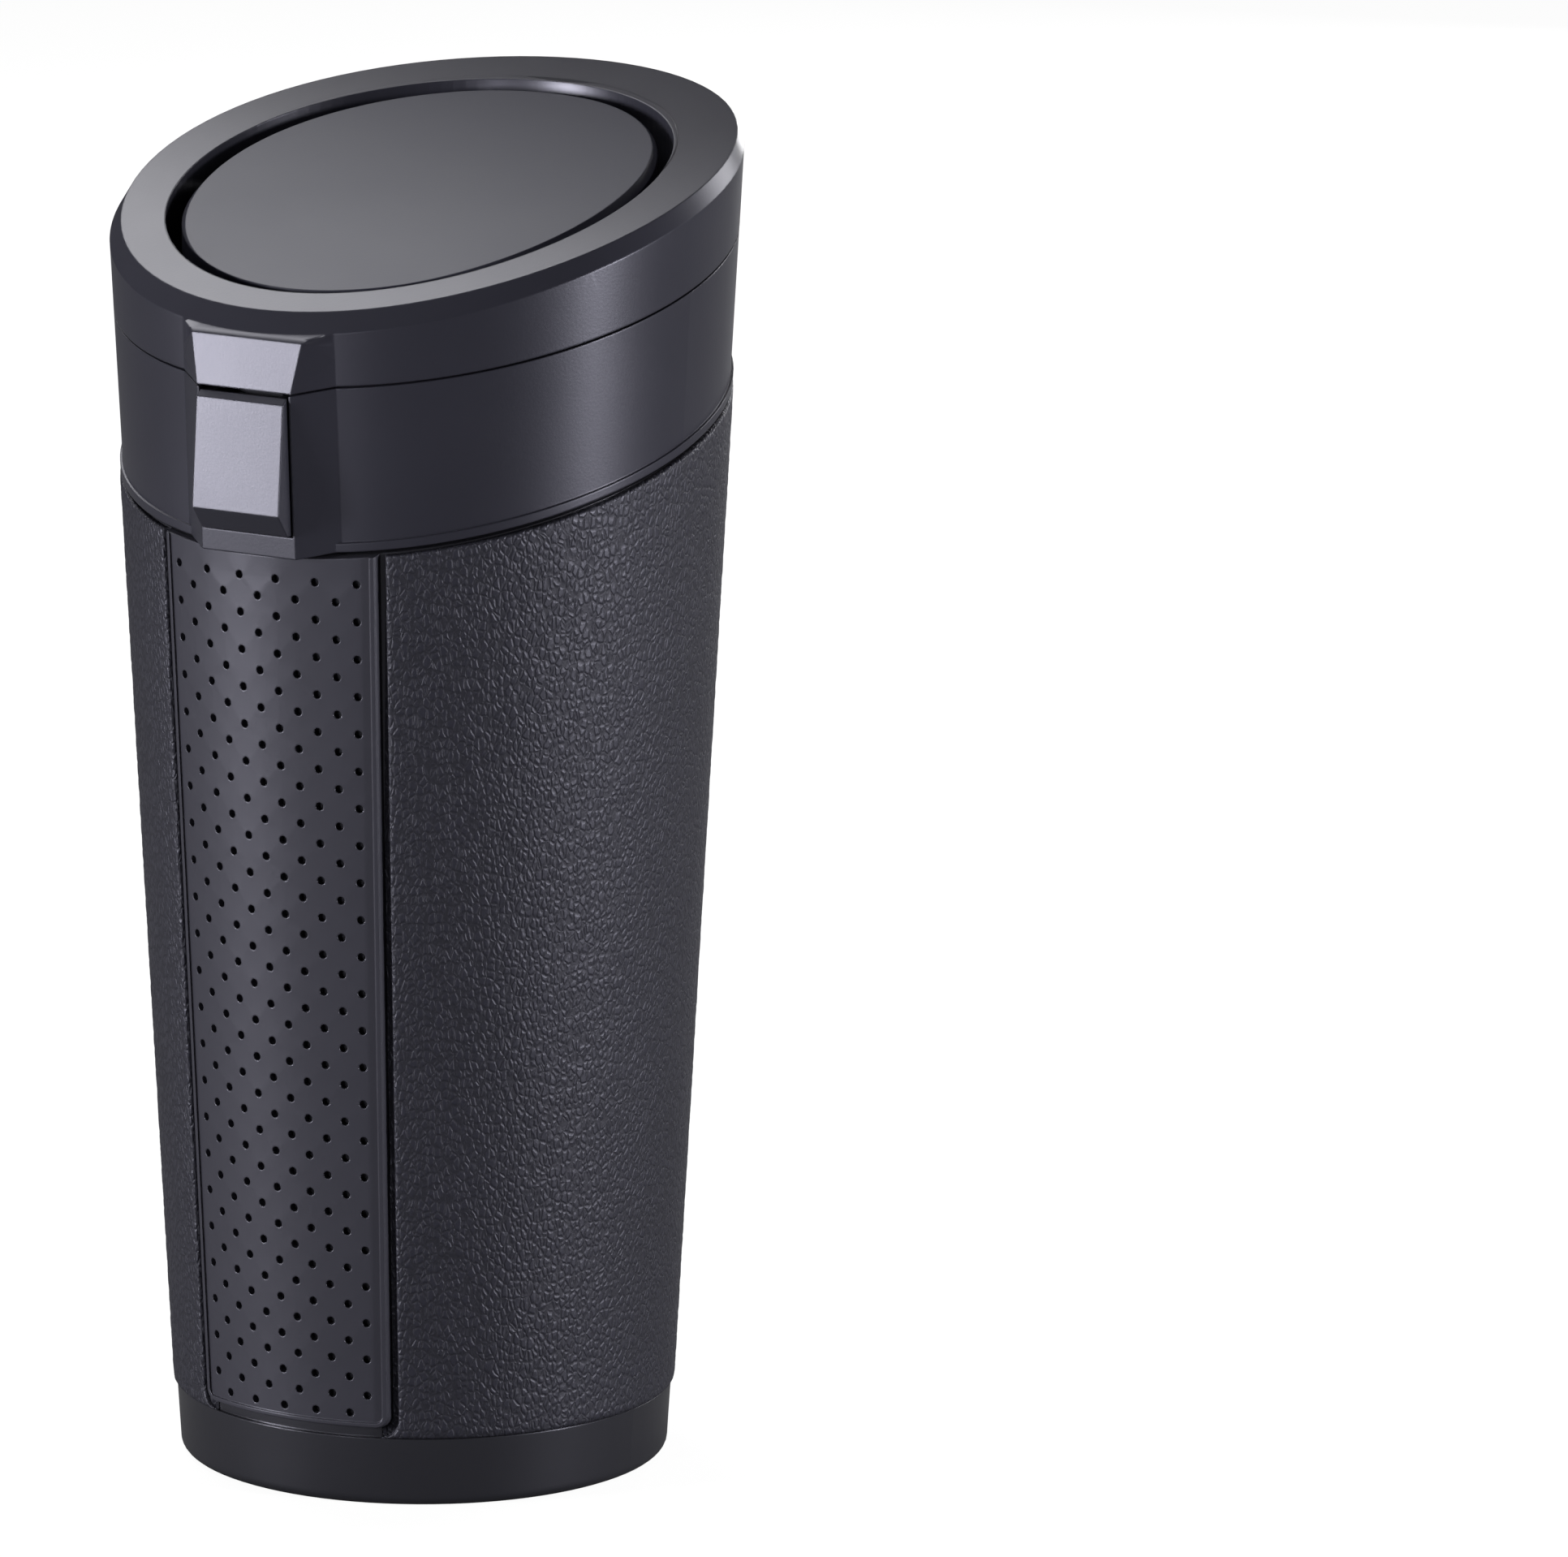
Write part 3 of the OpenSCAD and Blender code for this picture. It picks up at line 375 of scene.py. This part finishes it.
class WasteBinLooks(bpy.types.PropertyGroup):
    """Colours and finishes of the bin."""
    head_color: bpy.props.FloatVectorProperty(
        name="Head colour", description="Colour of the collar, lid and button",
        subtype="COLOR", size=3, min=0, max=1, default=(0.02, 0.0198, 0.028))
    flap_color: bpy.props.FloatVectorProperty(
        name="Flap colour", description="Colour of the round flap",
        subtype="COLOR", size=3, min=0, max=1, default=(0.02, 0.02, 0.033))
    body_color: bpy.props.FloatVectorProperty(
        name="Cup colour", description="Colour of the bare band at the foot",
        subtype="COLOR", size=3, min=0, max=1, default=(0.017, 0.017, 0.021))
    leather_color: bpy.props.FloatVectorProperty(
        name="Leather colour", description="Colour of the wrap",
        subtype="COLOR", size=3, min=0, max=1, default=(0.017, 0.0168, 0.0245))
    strip_color: bpy.props.FloatVectorProperty(
        name="Strip colour", description="Colour of the perforated strip",
        subtype="COLOR", size=3, min=0, max=1, default=(0.03, 0.0295, 0.039))
    pebble: bpy.props.FloatProperty(
        name="Pebble", description="Mean width of a pebble of the leather's grain",
        unit="LENGTH", default=0.8 * MM, min=0.5 * MM, max=3 * MM)
    pebble_height: bpy.props.FloatProperty(
        name="Pebble height", description="How far the pebbles stand out of their creases",
        unit="LENGTH", default=0.07 * MM, min=0, max=0.2 * MM)
    leather_step: bpy.props.FloatProperty(
        name="Leather step", description="Distance between the points of the leather's mesh",
        unit="LENGTH", default=0.62 * MM, min=0.4 * MM, max=5 * MM)
    edge_round: bpy.props.FloatProperty(
        name="Edge rounding", description="Width of the rounding on the button's edges",
        unit="LENGTH", default=0.35 * MM, min=0.05 * MM, max=0.6 * MM)
    hole_round: bpy.props.FloatProperty(
        name="Hole rounding", description="Radius of the edges of the strip's holes and border",
        unit="LENGTH", default=0.28 * MM, min=0.05 * MM, max=0.4 * MM)


class WasteBinStage(bpy.types.PropertyGroup):
    """Camera and light."""
    azimuth: bpy.props.FloatProperty(
        name="Azimuth", description="Camera's angle round the bin, from its front",
        subtype="ANGLE", default=math.radians(33))
    elevation: bpy.props.FloatProperty(
        name="Elevation", description="Camera's angle above the horizon",
        subtype="ANGLE", default=math.radians(12.2))
    distance: bpy.props.FloatProperty(
        name="Distance", description="From the camera to the bin's axis",
        unit="LENGTH", default=1.545)
    aim_height: bpy.props.FloatProperty(
        name="Aim height", description="Height on the bin's axis in the picture's middle row",
        unit="LENGTH", default=0.0937)
    pan: bpy.props.FloatProperty(
        name="Pan", description="Turn of the camera to the right of the bin",
        subtype="ANGLE", default=math.radians(1.823))
    lens: bpy.props.FloatProperty(
        name="Lens", description="Focal length", unit="CAMERA", default=259.4)
    ambient: bpy.props.FloatProperty(
        name="Ambient", description="Strength of the even light from all sides",
        default=0.05, min=0, max=1)


# Operators

class WASTEBIN_OT_finishes(bpy.types.Operator):
    """Make the materials and give every piece of the solid model its finish"""
    bl_idname = "wastebin.finishes"
    bl_label = "Finishes"

    def execute(self, context):
        looks = context.scene.waste_bin_looks
        inner_color = shade(looks.body_color, INNER_SHADE)
        made = {
            "head_plastic": moulded_plastic("head_plastic", looks.head_color, 0.34, 0.3),
            "body_plastic": moulded_plastic("body_plastic", looks.body_color, 0.3, 0.15),
            "inner_plastic": moulded_plastic("inner_plastic", inner_color, 0.55, 0.2),
            "leather": grained_leather("leather", looks.leather_color, 0.46, looks.pebble),
            "strip": smooth_leather("strip", looks.strip_color, 0.35, looks.hole_round),
            "seal_rubber": soft_rubber("seal_rubber", SEAL_COLOR),
            "steel": zinc_steel("steel", STEEL_COLOR, 0.32),
        }
        slots = {s["node"]: s["material_slot"] for s in frame["record"]["subparts"]}
        for node, piece in frame["nodes"].items():
            set_material(piece, made[slots[node]])
        flap = moulded_plastic("flap", looks.flap_color, 0.42, 0.2)
        shader = flap.node_tree.nodes["Principled BSDF"]
        shader.inputs["Specular IOR Level"].default_value = FLAP_SHEEN
        set_material(frame["nodes"]["flap_cover"], flap)
        return {"FINISHED"}


class WASTEBIN_OT_button(bpy.types.Operator):
    """Round the moulded edges of the push button"""
    bl_idname = "wastebin.button"
    bl_label = "Button"

    # Edges between faces that meet at more than this angle are rounded
    SHARP = math.radians(24)

    def execute(self, context):
        button = frame["nodes"]["button"]
        weld = button.modifiers.new("weld", "WELD")
        weld.merge_threshold = WELD
        rounding = button.modifiers.new("rounding", "BEVEL")
        rounding.limit_method = "ANGLE"
        rounding.angle_limit = self.SHARP
        rounding.width = context.scene.waste_bin_looks.edge_round
        rounding.segments = 2
        rounding.use_clamp_overlap = True
        even = button.modifiers.new("even", "WEIGHTED_NORMAL")
        even.mode = "FACE_AREA"
        even.keep_sharp = False
        return {"FINISHED"}


class WASTEBIN_OT_leather(bpy.types.Operator):
    """Make the grained leather round the cup, with edges turned down beside the strip"""
    bl_idname = "wastebin.leather"
    bl_label = "Leather"

    # Distances of the first lines of points from an edge, and the radius of the turned edge
    NEAR = (0, 0.12 * MM, 0.3 * MM, 0.6 * MM)
    EDGE = 0.55 * MM
    # The mesh carries coarse creases, which are this many pebbles wide
    CREASE_CELLS = 1.6
    # About how tall the leather is, to start the search for its points from
    ABOUT_TALL = 0.13

    def execute(self, context):
        looks = context.scene.waste_bin_looks
        height = SEAM_HEIGHT - LEATHER_LOW
        girth = 2 * math.pi * wall_radius(LEATHER_OUT, SEAM_HEIGHT / 2) - 2 * STRIP_HALF_LOW
        up = graded(int(height / looks.leather_step), height, self.NEAR)
        round_ = graded(int(girth / looks.leather_step), girth, self.NEAR)
        rows, columns = len(up), len(round_)
        angle, level = self.places(up, round_)
        outer = self.grained_face(looks, angle, level, self.depth(up, height, round_, girth))
        inner, inner_faces = self.lining(angle, level, rows, columns)
        points = np.concatenate([outer, inner])
        piece = mesh_piece("leather_wrap_skin", points, grid_faces(rows, columns) + inner_faces)
        piece.data.shade_smooth()
        set_material(piece, slot_material("leather"))
        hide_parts("leather_wrap")
        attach(piece, "base")
        return {"FINISHED"}

    def places(self, up, round_):
        """Angle and height of each point, from the strip's right edge round the back."""
        level = np.tile(LEATHER_LOW + up[:, None] * self.ABOUT_TALL, (1, len(round_)))
        for _ in range(SEARCH_ROUNDS):
            edge = np.arcsin(strip_edge(level) / wall_radius(LEATHER_OUT, level))
            angle = edge + round_[None, :] * (2 * math.pi - 2 * edge)
            level = LEATHER_LOW + up[:, None] * (seam_top(angle, LEATHER_OUT) - LEATHER_LOW)
        return angle, level

    def depth(self, up, height, round_, girth):
        """How deep each point lies below the outer cone, where the edges turn down."""
        depth = self.turned_edge(up, height)[:, None] + self.turned_edge(round_, girth)[None, :]
        return np.minimum(depth, self.EDGE)

    def turned_edge(self, fractions, length):
        """How deep the surface lies near the two ends of a line."""
        away = np.minimum(fractions, 1 - fractions) * length
        short = np.clip(self.EDGE - away, 0, None)
        return self.EDGE - np.sqrt(self.EDGE ** 2 - short ** 2)

    def grained_face(self, looks, angle, level, depth):
        """Points of the outer face, with the pebbles pressed into it away from the edges."""
        radius = wall_radius(LEATHER_OUT, level) - depth
        face = np.stack([radius * np.sin(angle), -radius * np.cos(angle), level], -1)
        face = face.reshape(-1, 3)
        cell = looks.pebble * self.CREASE_CELLS
        swell = np.array([crease_height(p, cell) for p in face]) - 1
        fade = (1 - depth / self.EDGE).reshape(-1)
        outward = np.stack([np.sin(angle), -np.cos(angle), np.zeros_like(angle)], -1)
        return face + outward.reshape(-1, 3) * (looks.pebble_height * swell * fade)[:, None]

    def lining(self, angle, level, rows, columns):
        """Inner face of the leather, with the walls that join it to the outer face."""
        def spot(j, i):
            r = wall_radius(LEATHER_IN, level[j, i])
            return (r * math.sin(angle[j, i]), -r * math.cos(angle[j, i]), level[j, i])
        top, right = rows - 1, columns - 1
        border = [(0, i) for i in range(columns)]
        border += [(j, right) for j in range(1, rows)]
        border += [(top, i) for i in range(columns - 2, -1, -1)]
        border += [(j, 0) for j in range(rows - 2, 0, -1)]
        number = {place: rows * columns + k for k, place in enumerate(border)}
        points = np.array([spot(j, i) for j, i in border])
        faces = []
        for k, (j, i) in enumerate(border):
            after = border[(k + 1) % len(border)]
            on_face = after[0] * columns + after[1]
            faces.append((j * columns + i, number[(j, i)], number[after], on_face))
        for i in range(1, columns - 2):
            faces.append((number[(0, i)], number[(top, i)],
                          number[(top, i + 1)], number[(0, i + 1)]))
        first = [number[(j, 0)] for j in range(rows)]
        last = [number[(j, right)] for j in range(rows)]
        faces.append((*first, number[(top, 1)], number[(0, 1)]))
        faces.append((number[(0, right - 1)], number[(top, right - 1)], *last[::-1]))
        return points, faces


class WASTEBIN_OT_lid(bpy.types.Operator):
    """Make the lid's cover from its solid, with rim and bevel cut clean above the tab"""
    bl_idname = "wastebin.lid"
    bl_label = "Lid"

    # The cut: facets round the rim, depth below the solid's face, and its reach past the bevel
    FACETS = 96
    DEPTH = 0.06 * MM
    REACH_OUT = 5 * MM
    REACH_IN = 9 * MM
    REACH_UP = 12 * MM
    # Edges between faces that meet at more than this angle stay sharp
    SHARP = math.radians(12)
    # How near a face lies to the wall, the crown or the bevel to be shaded as part of it
    NEAR = 0.05 * MM
    # Faces smaller than this are slivers, whose own direction says little
    SLIVER = 0.05 * MM ** 2
    # Least cosine between the direction of a larger face and that of the surface it is part of
    FACING = 0.5
    # How far a place on the bevel may lie past its ends, as a share of its width
    PAST_END = 0.1
    # Angle between two sections of the bevel that give its direction
    STEP = 0.02

    def execute(self, context):
        solid = frame["nodes"]["lid_cover"]
        cutter = mesh_piece("tab_trim", *self.trim_shape())
        piece = bpy.data.objects.new("lid_cover_shell", solid.data.copy())
        context.collection.objects.link(piece)
        piece.matrix_world = solid.matrix_world
        weld = piece.modifiers.new("weld", "WELD")
        weld.merge_threshold = WELD
        trim = piece.modifiers.new("trim", "BOOLEAN")
        trim.operation = "DIFFERENCE"
        trim.solver = "EXACT"
        trim.object = cutter
        context.view_layer.update()
        trimmed = piece.evaluated_get(context.evaluated_depsgraph_get())
        mesh = bpy.data.meshes.new_from_object(trimmed)
        piece.modifiers.clear()
        piece.data = mesh
        bpy.data.objects.remove(cutter)
        mesh.shade_smooth()
        mesh.set_sharp_from_angle(angle=self.SHARP)
        self.even_normals(mesh)
        set_material(piece, slot_material("head_plastic"))
        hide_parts("lid_cover")
        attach(piece, "lid")
        return {"FINISHED"}

    def even_normals(self, mesh):
        """Exact normals for the corners on the wall, the crown and the bevel."""
        normals = [(0, 0, 0)] * len(mesh.loops)
        for face in mesh.polygons:
            corners = [mesh.vertices[i].co for i in face.vertices]
            for i, normal in zip(face.loop_indices, self.exact_normals(face, corners)):
                normals[i] = normal
        mesh.normals_split_custom_set(normals)

    def exact_normals(self, face, corners):
        """Normals at a face's corners, or none where it lies on no even surface."""
        rounds = [self.wall_normal(p) for p in corners]
        crowns = [Vector((0, p.y - CROWN_Y, p.z - CROWN_Z)).normalized() for p in corners]
        small = face.area < self.SLIVER
        off_wall = max(abs(math.hypot(p.x, p.y) - wall_radius(BASE_RADIUS, p.z)) for p in corners)
        if off_wall < self.NEAR and (small or face.normal.dot(rounds[0]) > self.FACING):
            return rounds
        off_face = max(abs(p.z - face_height(p.y) + self.DEPTH) for p in corners)
        if off_face < self.NEAR and (small or face.normal.dot(crowns[0]) > self.FACING):
            return crowns
        if self.on_bevel(face.center):
            return [self.bevel_normal(math.atan2(p.x, -p.y)) for p in corners]
        return []

    def wall_normal(self, place):
        """Outward normal of the cup's wall at a place on it."""
        radius = math.hypot(place.x, place.y)
        return Vector((place.x, place.y, -WALL_SLOPE * radius)).normalized()

    def bevel_line(self, angle):
        """Lower and upper point of the bevel at an angle from the front."""
        points = self.section(angle)
        return [Vector((r * math.sin(angle), -r * math.cos(angle), z))
                for r, z in (points[0], points[-1])]

    def on_bevel(self, place):
        """Whether a place lies on the bevel round the upper face."""
        low, high = self.bevel_line(math.atan2(place.x, -place.y))
        along = (place - low).dot(high - low) / (high - low).length_squared
        off_bevel = (low.lerp(high, along) - place).length
        return -self.PAST_END < along < 1 + self.PAST_END and off_bevel < 2 * self.NEAR

    def bevel_normal(self, angle):
        """Outward normal of the bevel at an angle from the front."""
        low, high = self.bevel_line(angle)
        ahead = self.bevel_line(angle + self.STEP)[0]
        return (ahead - low).cross(high - low).normalized()

    def section(self, angle):
        """Section of the trimming shape at an angle from the front, as radius and height."""
        cosine = math.cos(angle)
        radius = wall_radius(BASE_RADIUS, TOP_HEIGHT)
        for _ in range(SEARCH_ROUNDS):
            radius = wall_radius(BASE_RADIUS, face_height(-radius * cosine) - BEVEL_HEIGHT)
        width = (BEVEL_FRONT + BEVEL_BACK) / 2 + (BEVEL_FRONT - BEVEL_BACK) / 2 * cosine
        low = face_height(-radius * cosine) - BEVEL_HEIGHT
        high = face_height(-(radius - width) * cosine)
        outer, inner, top = radius + self.REACH_OUT, radius - self.REACH_IN, high + self.REACH_UP
        fall = face_height(-outer * cosine) - face_height(-radius * cosine)
        return [
            (radius, low - self.DEPTH), (outer, low - self.DEPTH + fall),
            (outer, top), (inner, top),
            (inner, face_height(-inner * cosine) - self.DEPTH),
            (radius - width, high - self.DEPTH),
        ]

    def trim_shape(self):
        """Closed ring over the rim, whose lower side is the upper face and its bevel."""
        angles = [2 * math.pi * k / self.FACETS for k in range(self.FACETS)]
        rings = [(angle, self.section(angle)) for angle in angles]
        size = len(rings[0][1])
        points = [(r * math.sin(a), -r * math.cos(a), z) for a, ring in rings for r, z in ring]
        faces = []
        for k in range(self.FACETS):
            here, after = k * size, (k + 1) % self.FACETS * size
            for i in range(size):
                j = (i + 1) % size
                faces.append((after + i, after + j, here + j, here + i))
        return points, faces


class WASTEBIN_OT_stage(bpy.types.Operator):
    """Make the floor, the lights and the camera"""
    bl_idname = "wastebin.stage"
    bl_label = "Stage"

    # Half the floor's width, its colour for the light and for the camera, and its own glow there
    FLOOR_HALF = 4
    FLOOR_COLOR = (0.15, 0.15, 0.15)
    FLOOR_SEEN = (0.85, 0.85, 0.85)
    FLOOR_GLOW = 1.1
    GLOW_SHARE = 0.85

    # Width of the camera's sensor in millimetres, and its nearest and farthest sight
    SENSOR = 36
    CLIP = (0.1, 50)

    # Height that the lamps point at
    LAMP_AIM = 0.1
    # Each lamp: angle round the bin, distance, height of its middle, width, height, power
    LAMPS = {
        "key_left": (-39, 1.2, 0.18, 0.22, 0.36, 15),
        "front_strip_light": (-2, 1.2, 0.2, 0.07, 0.4, 2.2),
        "right_strip_light": (97, 1.1, 0.2, 0.12, 0.4, 12),
        "back_left": (-118, 0.75, 0.95, 0.6, 0.6, 5.5),
        "top": (-60, 0.25, 1.3, 0.9, 0.9, 2),
        "back_right": (160, 1.3, 0.5, 0.5, 0.6, 6),
        "back": (-165, 1.3, 0.35, 0.2, 0.6, 4),
    }

    def execute(self, context):
        settings = context.scene.waste_bin_stage
        self.make_floor(context)
        self.make_world(context, settings)
        self.make_lights(context)
        self.make_camera(context, settings)
        context.scene.view_settings.view_transform = "Standard"
        return {"FINISHED"}

    def make_floor(self, context):
        """Matte floor that the camera sees as white, with the bin's soft shadow."""
        half = self.FLOOR_HALF
        corners = [(-half, -half, 0), (half, -half, 0), (half, half, 0), (-half, half, 0)]
        mesh = bpy.data.meshes.new("floor")
        mesh.from_pydata(corners, [], [(0, 1, 2, 3)])
        floor = bpy.data.objects.new("floor", mesh)
        context.collection.objects.link(floor)
        material, nodes, links, shader = new_material("floor_paper", self.FLOOR_COLOR, 0.9)
        glow = nodes.new("ShaderNodeEmission")
        glow.inputs["Strength"].default_value = self.FLOOR_GLOW
        mix = nodes.new("ShaderNodeMixShader")
        seen = nodes.new("ShaderNodeLightPath").outputs["Is Camera Ray"]
        base = tint(nodes, links, seen, self.FLOOR_COLOR, self.FLOOR_SEEN)
        links.new(base, shader.inputs["Base Color"])
        links.new(spread(nodes, links, seen, 0.0, self.GLOW_SHARE), mix.inputs["Fac"])
        links.new(shader.outputs["BSDF"], mix.inputs[1])
        links.new(glow.outputs["Emission"], mix.inputs[2])
        links.new(mix.outputs["Shader"], nodes["Material Output"].inputs["Surface"])
        mesh.materials.append(material)

    def make_world(self, context, settings):
        """White for the camera, and faint even light for everything else."""
        world = bpy.data.worlds.new("studio")
        context.scene.world = world
        world.use_nodes = True
        nodes, links = world.node_tree.nodes, world.node_tree.links
        background = nodes["Background"]
        background.inputs["Color"].default_value = (1, 1, 1, 1)
        path = nodes.new("ShaderNodeLightPath")
        seen = nodes.new("ShaderNodeMath")
        seen.operation = "MAXIMUM"
        links.new(path.outputs["Is Camera Ray"], seen.inputs[0])
        links.new(path.outputs["Is Transmission Ray"], seen.inputs[1])
        strength = spread(nodes, links, seen.outputs["Value"], settings.ambient, 1.0)
        links.new(strength, background.inputs["Strength"])

    def make_lights(self, context):
        """Soft lamps round the bin, which the camera doesn't see."""
        aim = Vector((0, 0, self.LAMP_AIM))
        for name, (angle, away, height, width, tall, power) in self.LAMPS.items():
            data = bpy.data.lights.new(name, "AREA")
            data.shape = "RECTANGLE"
            data.size, data.size_y = width, tall
            data.energy = power
            lamp = bpy.data.objects.new(name, data)
            a = math.radians(angle)
            lamp.location = (away * math.sin(a), -away * math.cos(a), height)
            lamp.rotation_mode = "QUATERNION"
            lamp.rotation_quaternion = (aim - lamp.location).to_track_quat("-Z", "Y")
            lamp.visible_camera = False
            context.collection.objects.link(lamp)

    def make_camera(self, context, settings):
        """Camera at the photograph's angle, far off with a long lens."""
        a, e = settings.azimuth, settings.elevation
        back = Vector((math.sin(a) * math.cos(e), -math.cos(a) * math.cos(e), math.sin(e)))
        data = bpy.data.cameras.new("camera")
        data.lens = settings.lens
        data.sensor_width = self.SENSOR
        data.clip_start, data.clip_end = self.CLIP
        camera = bpy.data.objects.new("camera", data)
        camera.location = Vector((0, 0, settings.aim_height)) + settings.distance * back
        camera.rotation_mode = "QUATERNION"
        turn = Quaternion((0, 1, 0), -settings.pan)
        camera.rotation_quaternion = (-back).to_track_quat("-Z", "Y") @ turn
        context.collection.objects.link(camera)
        context.scene.camera = camera


class WASTEBIN_PT_panel(bpy.types.Panel):
    """Sizes, colours and pieces of the bin"""
    bl_label = "Waste Bin"
    bl_space_type = "VIEW_3D"
    bl_region_type = "UI"
    bl_category = "Waste Bin"

    def draw(self, context):
        layout = self.layout
        for group in (context.scene.waste_bin_looks, context.scene.waste_bin_stage):
            for name in group.__annotations__:
                layout.prop(group, name)
        for operator in OPERATORS:
            layout.operator(operator.bl_idname)


OPERATORS = (
    WASTEBIN_OT_finishes, WASTEBIN_OT_button, WASTEBIN_OT_leather, WASTEBIN_OT_lid,
    WASTEBIN_OT_stage,
)
CLASSES = (WasteBinLooks, WasteBinStage, *OPERATORS, WASTEBIN_PT_panel)


def register():
    """Registers the classes and hangs the settings on the scene."""
    for item in CLASSES:
        bpy.utils.register_class(item)
    bpy.types.Scene.waste_bin_looks = bpy.props.PointerProperty(type=WasteBinLooks)
    bpy.types.Scene.waste_bin_stage = bpy.props.PointerProperty(type=WasteBinStage)


def unregister():
    """Takes the settings and the classes away again."""
    del bpy.types.Scene.waste_bin_stage
    del bpy.types.Scene.waste_bin_looks
    for item in reversed(CLASSES):
        bpy.utils.unregister_class(item)


def main():
    """Dresses the bin."""
    register()
    bpy.ops.wastebin.finishes()
    bpy.ops.wastebin.button()
    bpy.ops.wastebin.leather()
    bpy.ops.wastebin.lid()
    bpy.ops.wastebin.stage()


if __name__ == "__main__":
    main()
